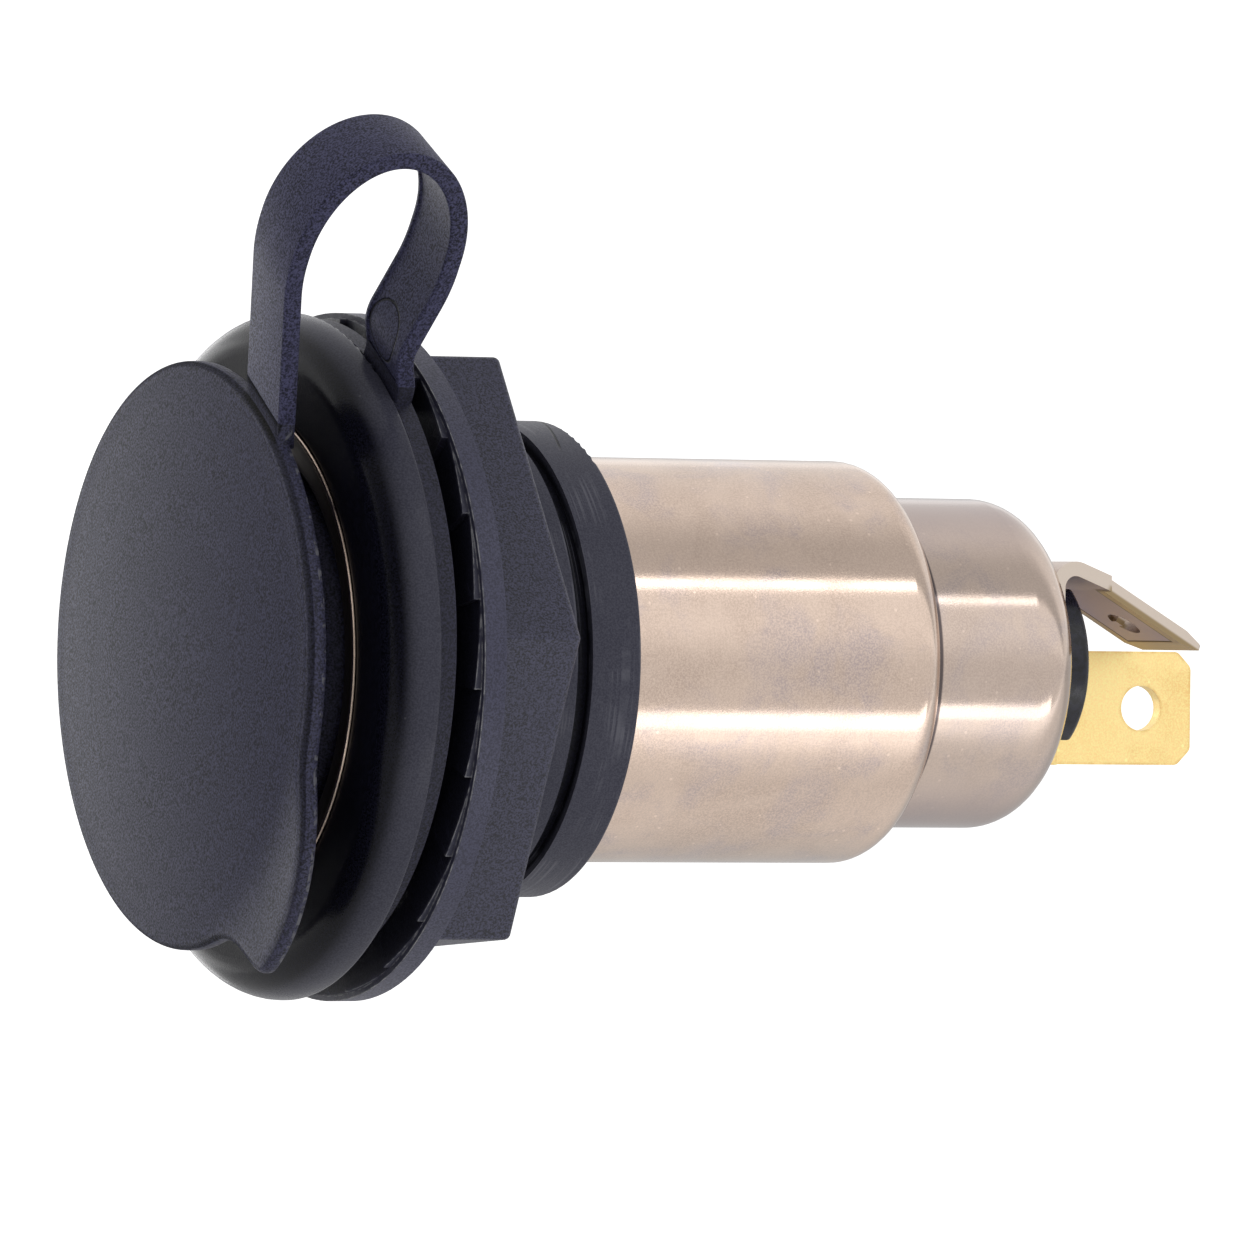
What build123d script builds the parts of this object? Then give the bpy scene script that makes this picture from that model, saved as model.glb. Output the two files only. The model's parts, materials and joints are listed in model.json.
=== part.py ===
from build123d import *
import os
from math import radians, sin, sqrt, tan

# A panel-mount 12 volt power socket with a strapped dust cap, in millimetres.
# X runs along the socket's axis: the dust cap faces -X, the terminals point to +X and the strap is at +Z.
# X = 0 is the back face of the bezel's flange. Radii are measured from the axis.

# Socket can: one drawn sheet with a rolled mouth, a shoulder and a narrower rear cup
well_diameter = 21.0
can_wall = 0.5
mouth_radius = 1.8
lip_width = 0.5
lip_proud = 0.15
shoulder_x = 34.5
shoulder_flat = 0.05
cup_step = 1.95
cup_length = 9.8
cup_radius = 3.0
neck_radius = 0.2

# Bezel: a bullnosed flange with a sleeve behind it, whose thread is drawn as rings
can_clearance = 0.05
lip_clearance = 0.1
sleeve_wall = 1.85
sleeve_length = 14.65
sleeve_end_radius = 0.2
flange_width = 5.56
flange_thickness = 2.6
flange_back_radius = 0.3
flange_rim_flat = 0.1
plain_band = 2.95
thread_turns = 5
thread_pitch = 2.0
thread_groove = 0.9
thread_depth = 0.7

# Soft moulding: a ring on the sleeve, a strap and the dust cap
# The strap's heights build on one another: the foot on the ring's edge, then the lean, the rear turn,
# the belly and the top. The front turn is measured down from the belly.
moulding_thickness = 1.0
ring_slack = 0.8
ring_clearance = 0.05
ring_width = 3.75
strap_width = 4.8
strap_edge_radius = 0.15
strap_root = 0.9
strap_anchor = 0.8
loop_top = 6.7
loop_belly = 1.8
loop_reach = 2.6
loop_width = 8.9
front_turn = 1.5
front_turn_radius = 10.0
rear_turn = 4.5
rear_turn_radius = 10.0
rear_lean = 0.75
rear_lean_height = 2.0
rear_foot = 0.6
rear_foot_radius = 2.5
strap_bend_share = 0.9
cap_overlap = 2.48
cap_gap = 2.78
cap_rim = 0.98
cap_dome = 0.5
cap_front_radius = 0.5
cap_back_radius = 0.15
plug_clearance = 0.3
plug_wall = 1.6
plug_short = 0.3
plug_bead = 0.3
plug_bead_length = 1.2
lift_tab_reach = 3.7
lift_tab_tip = 1.6
lift_tab_flare = 26.0
lift_tab_root = 4.0
lift_tab_span = 36.5
lift_tab_blend = 6.0
lift_tab_angle = 203.0

# Lock nut: a hexagon on a washer flange, with saw teeth on the flange's front
panel_gap = 1.0
nut_clearance = 0.1
nut_wall = 2.6
nut_length = 6.1
nut_flange_thickness = 1.3
nut_flange_margin = 0.5
nut_corner_radius = 0.4
nut_edge_radius = 0.4
nut_lead_in = 0.5
nut_turn = 21.2
tooth_count = 24
tooth_height = 0.4
tooth_width = 2.2
tooth_inset = 0.3

# Contacts: a rivet clamps the centre contact, two insulators and the brass terminal to the can's end
terminal_turn = -35.0
sheet = 0.8
rivet_radius = 1.5
rivet_clearance = 0.05
rivet_head_radius = 2.2
rivet_head_height = 0.7
rivet_head_round = 0.35
boss_radius = 2.95
boss_clearance = 0.05
rear_insulator_radius = 5.25
rear_insulator_flats = 8.3
rear_insulator_thickness = 1.3
rear_insulator_round = 0.4
inner_insulator_thickness = 1.2
contact_sheet = 0.6
contact_base_radius = 2.9
contact_radius = 5.2
contact_rise = 1.5

# Spade terminals: tabs 6.3 wide with a hole, one brass and one on the can
tab_width = 6.3
tab_corner = 0.85
tab_corner_radius = 0.5
bend_radius = 0.4
positive_hole_diameter = 2.5
positive_hole_from_end = 3.15
positive_length = 11.1
positive_offset = 3.7
positive_drop = 2.4
positive_pad_radius = 2.8
ground_ring_radius = 5.0
ground_bend_clearance = 0.07
ground_bend_radius = 0.65
ground_shoulder_width = 7.9
ground_shoulder_length = 3.55
ground_shoulder_slope = 21.0
ground_tab_length = 7.0
ground_offset = 0.6
ground_tab_slope = 30.0
ground_hole_diameter = 2.0
ground_hole_from_end = 3.3
ground_hole_nib = 0.5
ground_lead_length = 1.2
ground_lead_depth = 0.25

# Places along the axis, and the radii that fit one another
well_radius = well_diameter / 2
can_radius = well_radius + can_wall
lip_radius = can_radius + mouth_radius + lip_width
lip_front = -flange_thickness - lip_proud
lip_back = lip_front + can_wall
well_start = lip_front + mouth_radius + can_wall
cup_outer = can_radius - cup_step
can_end = shoulder_x + cup_length
can_floor = can_end - can_wall
sleeve_radius = can_radius + can_clearance + sleeve_wall
flange_radius = sleeve_radius + flange_width
thread_end = sleeve_length - plain_band
ring_hole = sleeve_radius + ring_slack + ring_clearance
ring_radius = ring_hole + ring_width
ring_edge = ring_slack + ring_radius
foot_height = ring_edge + rear_foot
lean_height = foot_height + rear_lean_height
rear_turn_height = lean_height + rear_turn
belly_height = rear_turn_height + loop_belly
front_turn_height = belly_height - front_turn
strap_top = belly_height + loop_top
cap_radius = lip_radius + cap_overlap
cap_back = lip_front - cap_gap
cap_front = cap_back - cap_rim
plug_radius = well_radius - plug_clearance
plug_end = well_start - plug_short
nut_tips = moulding_thickness + panel_gap
nut_face = nut_tips + tooth_height
nut_back = nut_face + nut_length
nut_bore = sleeve_radius + nut_clearance
nut_across_flats = 2 * (nut_bore + nut_wall)
nut_flange_radius = nut_across_flats / sqrt(3) + nut_flange_margin
rivet_hole = rivet_radius + rivet_clearance
boss_hole = boss_radius + boss_clearance
ground_back = can_end + sheet
insulator_back = ground_back + rear_insulator_thickness
contact_back = can_floor - inner_insulator_thickness
ground_bend_path = ground_bend_radius + sheet / 2
ground_bend_trim = ground_bend_path * tan(radians(90 + ground_shoulder_slope) / 2)
ground_bend_height = rear_insulator_flats / 2 + ground_bend_clearance + ground_bend_trim


def turned(*corners):
    """A solid of revolution about the X axis, from (x, radius, corner rounding) in order."""
    points = [(x, radius) for x, radius, _ in corners]
    rounding = [corner for _, _, corner in corners]
    outline = FilletPolyline(*points, radius=rounding, close=True)
    return revolve(make_face(outline), Axis.X)


def axial(sketch, start, end):
    """A sketch drawn in (Y, Z), extruded along the axis from start to end."""
    return extrude(Plane.YZ.offset(start) * sketch, amount=end - start)


def socket_can():
    shoulder_radius = cup_step - neck_radius - shoulder_flat
    return turned(
        (lip_back, lip_radius, 0),
        (lip_back, can_radius, mouth_radius),
        (shoulder_x, can_radius, shoulder_radius),
        (shoulder_x, cup_outer, neck_radius),
        (can_end, cup_outer, cup_radius),
        (can_end, boss_hole, 0),
        (can_floor, boss_hole, 0),
        (can_floor, cup_outer - can_wall, cup_radius - can_wall),
        (shoulder_x - can_wall, cup_outer - can_wall, neck_radius + can_wall),
        (shoulder_x - can_wall, well_radius, shoulder_radius - can_wall),
        (lip_front, well_radius, mouth_radius + can_wall),
        (lip_front, lip_radius, 0),
    )


def bezel_sleeve():
    bore = can_radius + can_clearance
    bullnose = flange_thickness - flange_back_radius - flange_rim_flat
    body = turned(
        (lip_back, bore, mouth_radius),
        (sleeve_length, bore, 0),
        (sleeve_length, sleeve_radius, sleeve_end_radius),
        (0, sleeve_radius, 0),
        (0, flange_radius, flange_back_radius),
        (-flange_thickness, flange_radius, bullnose),
        (-flange_thickness, lip_radius + lip_clearance, 0),
        (lip_back, lip_radius + lip_clearance, 0),
    )
    root = sleeve_radius - thread_depth
    for turn in range(thread_turns):
        groove_end = thread_end - turn * thread_pitch
        groove_start = groove_end - thread_groove
        body -= turned(
            (groove_start, root, 0),
            (groove_end, root, 0),
            (groove_end, sleeve_radius + thread_depth, 0),
            (groove_start, sleeve_radius + thread_depth, 0),
        )
    return body


def bent(points, radii):
    """Straight runs joined by tangent arcs, each of its radius or of the largest that its two runs allow."""
    points = [Vector(*point) for point in points]
    runs = [after - before for before, after in zip(points, points[1:])]
    room = [run.length * strap_bend_share / 2 for run in runs]
    room[0] *= 2
    room[-1] *= 2
    fitted = []
    for index, radius in enumerate(radii):
        half_turn = runs[index].get_angle(runs[index + 1]) / 2
        largest = min(room[index : index + 2]) / tan(radians(half_turn))
        fitted.append(min(radius, largest))
    return FilletPolyline(*points, radius=fitted)


def strap_band():
    """The whole strap, from inside the cap's rim, over the loop and down into the ring."""
    front_x = cap_back - loop_reach
    rear_x = front_x + loop_width
    ring_x = moulding_thickness / 2
    front_leg = bent(
        [(cap_back, cap_radius - strap_anchor), (front_x, front_turn_height), (front_x, belly_height)],
        [front_turn_radius],
    )
    rear_leg = bent(
        [
            (rear_x, belly_height),
            (rear_x, rear_turn_height),
            (ring_x - rear_lean, lean_height),
            (ring_x, foot_height),
            (ring_x, ring_edge - strap_anchor),
        ],
        [rear_turn_radius, rear_foot_radius, rear_foot_radius],
    )
    crown = EllipticalCenterArc(
        ((front_x + rear_x) / 2, belly_height),
        loop_width / 2,
        loop_top - moulding_thickness / 2,
        arc_size=180,
    )
    path = Wire([*front_leg.edges(), *crown.edges(), *rear_leg.edges()])
    section = Plane.XZ * trace(path, moulding_thickness)
    band = extrude(section, amount=strap_width / 2, both=True)
    return fillet(band.faces().filter_by(Axis.Y).edges(), strap_edge_radius)


def strap_roots():
    """The two blocks of space below the flexing loop: the strap in them belongs to cap and ring."""
    reach = strap_top
    split_x = (cap_back + lip_front) / 2
    cap_top = cap_radius + strap_root
    ring_top = ring_edge + strap_root
    cap_root = Pos(split_x - reach / 2, 0, cap_top - reach / 2) * Box(reach, reach, reach)
    ring_root = Pos(split_x + reach / 2, 0, ring_top - reach / 2) * Box(reach, reach, reach)
    return cap_root, ring_root


def cap_strap():
    cap_root, ring_root = strap_roots()
    return strap_band() - cap_root - ring_root


def strap_ring():
    washer = Circle(ring_radius) - Circle(ring_hole)
    ring = axial(Pos(0, ring_slack) * washer, 0, moulding_thickness)
    return ring + (strap_band() & strap_roots()[1])


def polar(radius, degrees):
    return Vector(radius, 0).rotate(Axis.Z, degrees)


def cap_outline():
    """The cap's disc with its lift tab: one side swells from the rim, the other ends at a notch."""
    centre = Vector(cap_radius + lift_tab_reach - lift_tab_tip, 0)
    leave = polar(cap_radius, -lift_tab_span)
    land = centre + polar(lift_tab_tip, 0)
    turn = centre + polar(lift_tab_tip, 90 - lift_tab_flare)
    inward = polar(1, 180 - lift_tab_flare)
    run = -turn.dot(inward)
    notch = turn + inward * (run - sqrt(run**2 - turn.dot(turn) + cap_radius**2))
    outline = make_face([
        TangentArc(land, leave, tangent=(0, -1)),
        ThreePointArc(land, centre + polar(lift_tab_tip, 45 - lift_tab_flare / 2), turn),
        Line(turn, notch),
        ThreePointArc(notch, (-cap_radius, 0), leave),
    ])
    outline = fillet(outline.vertices().sort_by_distance(notch)[0], lift_tab_root)
    outline = fillet(outline.vertices().sort_by_distance(leave)[0], lift_tab_blend)
    return Rot(0, 0, lift_tab_angle) * outline


def dust_cap():
    ball = (cap_radius**2 + cap_dome**2) / (2 * cap_dome)
    dome = Pos(cap_front - cap_dome + ball, 0, 0) * Sphere(ball)
    slab = axial(cap_outline(), cap_back, cap_front - 2 * cap_dome)
    disc = slab & dome
    disc = fillet(disc.faces().sort_by(Axis.X)[0].edges(), cap_front_radius)
    disc = fillet(disc.faces().sort_by(Axis.X)[-1].edges(), cap_back_radius)
    skirt = plug_radius - plug_bead
    plug = turned(
        (cap_back - cap_rim / 2, skirt - plug_wall, 0),
        (cap_back - cap_rim / 2, skirt, 0),
        (plug_end - plug_bead_length - plug_bead, skirt, 0),
        (plug_end - plug_bead_length, plug_radius, 0),
        (plug_end - plug_bead, plug_radius, 0),
        (plug_end, skirt, 0),
        (plug_end, skirt - plug_wall, 0),
    )
    return disc + plug + (strap_band() & strap_roots()[0])


def saw_tooth():
    """One tooth of the nut's front face: it ramps up round the axis and drops at its end."""
    pitch = 360 / tooth_count
    outer = nut_flange_radius - tooth_inset
    inner = outer - tooth_width
    ramp = outer * sin(radians(pitch))
    track = Polyline((nut_tips, inner), (nut_tips, outer), (nut_back, outer), (nut_back, inner), close=True)
    sector = revolve(make_face(track), Axis.X, revolution_arc=pitch)
    rise = make_face(Polyline((nut_face, 0), (nut_tips, ramp), (nut_face, ramp), close=True))
    wedge = extrude(Plane.XZ * rise, amount=-outer)
    return sector & wedge


def lock_nut():
    hexagon = RegularPolygon(nut_across_flats / 2, 6, major_radius=False, rotation=nut_turn)
    hexagon = fillet(hexagon.vertices(), nut_corner_radius)
    prism = axial(hexagon, nut_face, nut_back)
    prism = fillet(prism.faces().sort_by(Axis.X)[-1].edges(), nut_edge_radius)
    body = prism + axial(Circle(nut_flange_radius), nut_face, nut_face + nut_flange_thickness)
    tooth = saw_tooth()
    body += [Rot(360 / tooth_count * index, 0, 0) * tooth for index in range(tooth_count)]
    return body - turned(
        (nut_tips, 0, 0),
        (nut_tips, nut_bore, 0),
        (nut_back - nut_lead_in, nut_bore, 0),
        (nut_back, nut_bore + nut_lead_in, 0),
        (nut_back, 0, 0),
    )


def inner_insulator():
    radius = cup_outer - cup_radius - can_clearance
    washer = Circle(radius) - Circle(rivet_hole)
    return axial(washer, contact_back, can_floor)


def centre_contact():
    front = contact_back - contact_sheet
    return turned(
        (contact_back, rivet_hole, 0),
        (contact_back, contact_base_radius, contact_sheet),
        (contact_back - contact_rise, contact_radius, 0),
        (front - contact_rise, contact_radius, 0),
        (front, contact_base_radius, contact_sheet),
        (front, rivet_hole, 0),
    )


def contact_rivet():
    front = contact_back - contact_sheet
    back = insulator_back + sheet
    return turned(
        (front - rivet_head_height, 0, 0),
        (front - rivet_head_height, rivet_head_radius, rivet_head_round),
        (front, rivet_head_radius, 0),
        (front, rivet_radius, 0),
        (back, rivet_radius, 0),
        (back, rivet_head_radius, 0),
        (back + rivet_head_height, rivet_head_radius, rivet_head_round),
        (back + rivet_head_height, 0, 0),
    )


def rear_insulator():
    """A washer with two flats that clear the ground terminal, and a boss through the can's end."""
    strip = Rectangle(2 * rear_insulator_radius, rear_insulator_flats)
    plate = axial(Circle(rear_insulator_radius) & strip, ground_back, insulator_back)
    plate = fillet(plate.faces().sort_by(Axis.X)[-1].edges(), rear_insulator_round)
    boss = axial(Circle(boss_radius), can_floor, ground_back)
    bore = axial(Circle(rivet_hole), can_floor, insulator_back)
    return Rot(terminal_turn, 0, 0) * (plate + boss - bore)


def positive_terminal():
    """Brass angle: a pad under the rivet, bent into a tab that stands beside it."""
    outside = positive_offset + sheet / 2
    low = -positive_drop - tab_width / 2
    pad_length = outside
    pad = Pos(pad_length / 2, low + tab_width / 2) * Rectangle(pad_length, tab_width)
    pad = axial(pad + Circle(positive_pad_radius), insulator_back, insulator_back + sheet)
    end = insulator_back + positive_length
    tab = Pos((insulator_back + end) / 2, low + tab_width / 2) * Rectangle(positive_length, tab_width)
    tab = chamfer(tab.vertices().group_by(Axis.X)[-1], tab_corner)
    tab = fillet(tab.vertices().filter_by_position(Axis.X, insulator_back + sheet, end), tab_corner_radius)
    hole = Pos(end - positive_hole_from_end, low + tab_width / 2) * Circle(positive_hole_diameter / 2)
    tab = extrude(Plane.XZ.offset(-outside) * (tab - hole), amount=sheet)
    angle = pad + tab
    bend = angle.edges().filter_by(Axis.Z).sort_by_distance((insulator_back, outside, low + tab_width / 2))
    angle = fillet(bend[0], bend_radius + sheet)
    inside = angle.edges().filter_by(Axis.Z).sort_by_distance(
        (insulator_back + sheet, outside - sheet, low + tab_width / 2)
    )
    angle = fillet(inside[0], bend_radius)
    angle -= axial(Circle(rivet_hole), insulator_back, insulator_back + sheet)
    return Rot(terminal_turn, 0, 0) * angle


def ground_terminal():
    """Plated strip: a ring against the can's end, bent back into a shouldered tab leaning to the axis."""
    middle = can_end + sheet / 2
    bend = Vector(middle, ground_bend_height)
    shoulder = bend + Vector(ground_shoulder_length, 0).rotate(Axis.Z, -ground_shoulder_slope)
    along = Vector(1, 0).rotate(Axis.Z, -ground_tab_slope)
    tip = shoulder + along * ground_tab_length
    path = FilletPolyline(
        (middle, boss_hole),
        bend,
        shoulder,
        tip,
        radius=[ground_bend_path, ground_shoulder_length / 2],
    )
    strip = extrude(Plane.XZ * trace(path, sheet), amount=ground_shoulder_width / 2, both=True)
    wide = ground_shoulder_width / 2
    narrow = tab_width / 2
    far = tip.X + sheet
    flank = [(can_end, wide), (shoulder.X, wide), (shoulder.X, narrow), (far - tab_corner, narrow)]
    flank += [(far, narrow - tab_corner)]
    plan = make_face(Polyline(*flank, *[(x, -y) for x, y in reversed(flank)], close=True))
    strip &= extrude(plan, amount=ground_bend_height + sheet)
    ring = axial(Circle(ground_ring_radius) - Circle(boss_hole), can_end, ground_back)
    centre = tip - along * ground_hole_from_end
    drill = Plane((centre.X, 0, centre.Y), x_dir=(0, 1, 0), z_dir=(-along.Y, 0, along.X))
    nib = Pos(ground_hole_diameter / 2, 0) * Rectangle(2 * ground_hole_nib, ground_hole_nib)
    hole = extrude(drill * (Circle(ground_hole_diameter / 2) - nib), amount=sheet, both=True)
    strip -= hole
    for side in (Vector(-along.Y, along.X), Vector(along.Y, -along.X)):
        skin = side * (sheet / 2)
        start = tip - along * ground_lead_length
        lead = Polyline(start + skin, tip + skin, tip + skin - side * ground_lead_depth, close=True)
        strip -= extrude(Plane.XZ * make_face(lead), amount=ground_shoulder_width / 2, both=True)
    strip = Pos(0, -ground_offset, 0) * strip
    strip -= axial(Circle(boss_hole), can_end, ground_back)
    return Rot(terminal_turn, 0, 0) * (ring + strip)


nodes = {
    "socket_can": socket_can,
    "bezel_sleeve": bezel_sleeve,
    "strap_ring": strap_ring,
    "cap_strap": cap_strap,
    "dust_cap": dust_cap,
    "lock_nut": lock_nut,
    "inner_insulator": inner_insulator,
    "centre_contact": centre_contact,
    "contact_rivet": contact_rivet,
    "rear_insulator": rear_insulator,
    "positive_terminal": positive_terminal,
    "ground_terminal": ground_terminal,
}

os.makedirs("parts", exist_ok=True)
for name, make in nodes.items():
    export_step(make(), f"parts/{name}.step")
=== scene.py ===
import json
import math

import bmesh
import bpy
from bpy.props import FloatProperty, FloatVectorProperty, PointerProperty
from mathutils import Matrix, Vector


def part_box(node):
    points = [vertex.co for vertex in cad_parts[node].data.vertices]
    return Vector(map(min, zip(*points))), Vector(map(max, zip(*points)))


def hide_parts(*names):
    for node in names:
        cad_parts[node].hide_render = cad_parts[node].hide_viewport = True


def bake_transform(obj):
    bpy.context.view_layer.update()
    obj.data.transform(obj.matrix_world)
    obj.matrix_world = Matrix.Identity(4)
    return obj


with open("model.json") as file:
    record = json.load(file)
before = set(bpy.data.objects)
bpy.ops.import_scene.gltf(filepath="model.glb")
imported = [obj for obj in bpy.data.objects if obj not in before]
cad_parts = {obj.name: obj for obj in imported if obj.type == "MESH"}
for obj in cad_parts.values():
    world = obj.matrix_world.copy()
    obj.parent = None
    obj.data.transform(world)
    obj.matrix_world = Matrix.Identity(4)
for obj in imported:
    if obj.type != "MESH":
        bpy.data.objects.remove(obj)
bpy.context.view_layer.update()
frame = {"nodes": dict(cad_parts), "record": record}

bl_info = {
    "name": "Panel Power Socket",
    "version": (1, 0, 0),
    "blender": (4, 5, 0),
    "location": "View3D > Sidebar > Socket",
    "description": "Dresses a panel-mount power socket with a strapped dust cap and sets it on a stage",
    "category": "Object",
}

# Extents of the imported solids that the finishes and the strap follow, in metres
STRAP_LOW, STRAP_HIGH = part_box("cap_strap")
CAP_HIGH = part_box("dust_cap")[1]
NUT_LOW, NUT_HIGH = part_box("lock_nut")
SLEEVE_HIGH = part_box("bezel_sleeve")[1]

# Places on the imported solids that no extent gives, in metres
CAN_SHOULDER_X = 0.0345
CUP_RADIUS = 0.00905
LIP_RADIUS = 0.0133
MOUTH_X = -0.0018
WELL_RADIUS = 0.0105
SLEEVE_RADIUS = 0.0129
NUT_FACE_X = NUT_LOW.x + 0.0004
CAP_RIM_X = -0.0055
TAB_LENGTH = 0.007
TAB_HALF_WIDTH = 0.00315

# Directions of the part, up and down across the line of sight of the photograph
# The cup is painted darker towards both: painted shade.
UPPER_SIDE = (0.0, 0.574, 0.819)
LOWER_SIDE = (0.0, -0.574, -0.819)


class NodeSheet:
    """A node tree that is being wired: nodes are added with their input values, then joined."""

    def __init__(self, tree):
        self.tree = tree

    def add(self, kind, values=None, **settings):
        node = self.tree.nodes.new(kind)
        for name, value in settings.items():
            setattr(node, name, value)
        for socket, value in (values or {}).items():
            if isinstance(value, bpy.types.NodeSocket):
                self.tree.links.new(value, node.inputs[socket])
            else:
                node.inputs[socket].default_value = value
        return node

    def join(self, source, target):
        self.tree.links.new(source, target)

    def math(self, operation, first, second=0.0, third=0.0):
        node = self.add("ShaderNodeMath", {0: first, 1: second, 2: third}, operation=operation)
        return node.outputs[0]

    def band(self, value, low, high, to_low=0.0, to_high=1.0):
        """value carried from low..high to to_low..to_high, held at both ends."""
        node = self.add(
            "ShaderNodeMapRange",
            {"Value": value, "From Min": low, "From Max": high, "To Min": to_low, "To Max": to_high},
            interpolation_type="SMOOTHSTEP",
        )
        return node.outputs["Result"]

    def mix(self, share, first, second, blend="MIX"):
        node = self.add("ShaderNodeMix", data_type="RGBA", blend_type=blend)
        for socket, value in ((node.inputs[0], share), (node.inputs[6], first), (node.inputs[7], second)):
            if isinstance(value, bpy.types.NodeSocket):
                self.join(value, socket)
            else:
                socket.default_value = value
        return node.outputs[2]


def colour(value):
    """A property colour as the four numbers that a colour socket takes."""
    return (*value[:3], 1.0)


def effect_group(name, inputs, outputs):
    """A new shader node group with its sockets; returns its sheet, group input and group output."""
    tree = bpy.data.node_groups.new(name, "ShaderNodeTree")
    for socket, kind, default in inputs:
        made = tree.interface.new_socket(name=socket, in_out="INPUT", socket_type=kind)
        if default is not None:
            made.default_value = default
    for socket, kind in outputs:
        tree.interface.new_socket(name=socket, in_out="OUTPUT", socket_type=kind)
    sheet = NodeSheet(tree)
    return sheet, sheet.add("NodeGroupInput"), sheet.add("NodeGroupOutput")


def fine_grain():
    """Group: an even moulded grain, as a height and as a shade round one half."""
    name = "Fine grain"
    if name in bpy.data.node_groups:
        return bpy.data.node_groups[name]
    sheet, given, made = effect_group(
        name,
        [("Place", "NodeSocketVector", None), ("Grains per metre", "NodeSocketFloat", 5000.0)],
        [("Height", "NodeSocketFloat"), ("Shade", "NodeSocketFloat")],
    )
    texture = sheet.add(
        "ShaderNodeTexNoise",
        {
            "Vector": given.outputs["Place"],
            "Scale": given.outputs["Grains per metre"],
            "Detail": 3.0,
            "Roughness": 0.6,
        },
    )
    sheet.join(texture.outputs["Fac"], made.inputs["Height"])
    sheet.join(sheet.band(texture.outputs["Fac"], 0.36, 0.64), made.inputs["Shade"])
    return sheet.tree


def cloudy_patches():
    """Group: soft uneven patches, a share from zero to one."""
    name = "Cloudy patches"
    if name in bpy.data.node_groups:
        return bpy.data.node_groups[name]
    sheet, given, made = effect_group(
        name,
        [
            ("Place", "NodeSocketVector", None),
            ("Patches per metre", "NodeSocketFloat", 200.0),
            ("Low", "NodeSocketFloat", 0.35),
            ("High", "NodeSocketFloat", 0.65),
        ],
        [("Share", "NodeSocketFloat")],
    )
    texture = sheet.add(
        "ShaderNodeTexNoise",
        {
            "Vector": given.outputs["Place"],
            "Scale": given.outputs["Patches per metre"],
            "Detail": 4.0,
            "Roughness": 0.55,
            "Distortion": 0.6,
        },
    )
    share = sheet.band(texture.outputs["Fac"], given.outputs["Low"], given.outputs["High"])
    sheet.join(share, made.inputs["Share"])
    return sheet.tree


def rubbed_and_highlit_edges():
    """Group: one along convex edges within a width, zero on open faces, broken up by a fine noise; it marks
    rubbed wear and painted edge highlights.
    """
    name = "Rubbed edges"
    if name in bpy.data.node_groups:
        return bpy.data.node_groups[name]
    sheet, given, made = effect_group(
        name,
        [
            ("Place", "NodeSocketVector", None),
            ("Width", "NodeSocketFloat", 0.0001),
            ("Breaks", "NodeSocketFloat", 0.5),
        ],
        [("Share", "NodeSocketFloat")],
    )
    rounded = sheet.add("ShaderNodeBevel", {"Radius": given.outputs["Width"]}, samples=6)
    face = sheet.add("ShaderNodeNewGeometry")
    likeness = sheet.add(
        "ShaderNodeVectorMath",
        {0: rounded.outputs["Normal"], 1: face.outputs["True Normal"]},
        operation="DOT_PRODUCT",
    )
    edge = sheet.band(likeness.outputs["Value"], 0.98, 0.8)
    speckle = sheet.add(
        "ShaderNodeTexNoise",
        {"Vector": given.outputs["Place"], "Scale": 1800.0, "Detail": 3.0},
    )
    kept = sheet.band(speckle.outputs["Fac"], 0.35, 0.65)
    broken = sheet.add("ShaderNodeMix", {0: given.outputs["Breaks"], 2: 1.0, 3: kept})
    sheet.join(sheet.math("MULTIPLY", edge, broken.outputs[0]), made.inputs["Share"])
    return sheet.tree


def about_axis():
    """Group: the distance from the socket's axis, and the turn about it as a share of a full turn."""
    name = "About axis"
    if name in bpy.data.node_groups:
        return bpy.data.node_groups[name]
    sheet, given, made = effect_group(
        name,
        [("Place", "NodeSocketVector", None)],
        [("Along", "NodeSocketFloat"), ("Radius", "NodeSocketFloat"), ("Turn", "NodeSocketFloat")],
    )
    parts = sheet.add("ShaderNodeSeparateXYZ", {"Vector": given.outputs["Place"]})
    across = sheet.add("ShaderNodeCombineXYZ", {"Y": parts.outputs["Y"], "Z": parts.outputs["Z"]})
    radius = sheet.add("ShaderNodeVectorMath", {0: across.outputs["Vector"]}, operation="LENGTH")
    angle = sheet.math("ARCTAN2", parts.outputs["Z"], parts.outputs["Y"])
    sheet.join(parts.outputs["X"], made.inputs["Along"])
    sheet.join(radius.outputs["Value"], made.inputs["Radius"])
    sheet.join(sheet.math("MULTIPLY_ADD", angle, 0.5 / math.pi, third=0.5), made.inputs["Turn"])
    return sheet.tree


def turned_lines():
    """Group: broken lines that run round the axis, as left by turning, polishing or rubbing."""
    name = "Turned lines"
    if name in bpy.data.node_groups:
        return bpy.data.node_groups[name]
    sheet, given, made = effect_group(
        name,
        [
            ("Place", "NodeSocketVector", None),
            ("Lines per metre", "NodeSocketFloat", 5000.0),
            ("Runs per turn", "NodeSocketFloat", 6.0),
            ("Low", "NodeSocketFloat", 0.5),
            ("High", "NodeSocketFloat", 0.7),
        ],
        [("Share", "NodeSocketFloat")],
    )
    spin = placed(sheet, about_axis(), Place=given.outputs["Place"])
    along = sheet.math("MULTIPLY", spin.outputs["Along"], given.outputs["Lines per metre"])
    turn = sheet.math("MULTIPLY", spin.outputs["Turn"], given.outputs["Runs per turn"])
    across = sheet.math("MULTIPLY", spin.outputs["Radius"], given.outputs["Lines per metre"])
    spot = sheet.add("ShaderNodeCombineXYZ", {"X": along, "Y": turn, "Z": across})
    texture = sheet.add("ShaderNodeTexNoise", {"Vector": spot.outputs["Vector"], "Scale": 1.0, "Detail": 2.0})
    share = sheet.band(texture.outputs["Fac"], given.outputs["Low"], given.outputs["High"])
    sheet.join(share, made.inputs["Share"])
    return sheet.tree


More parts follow.
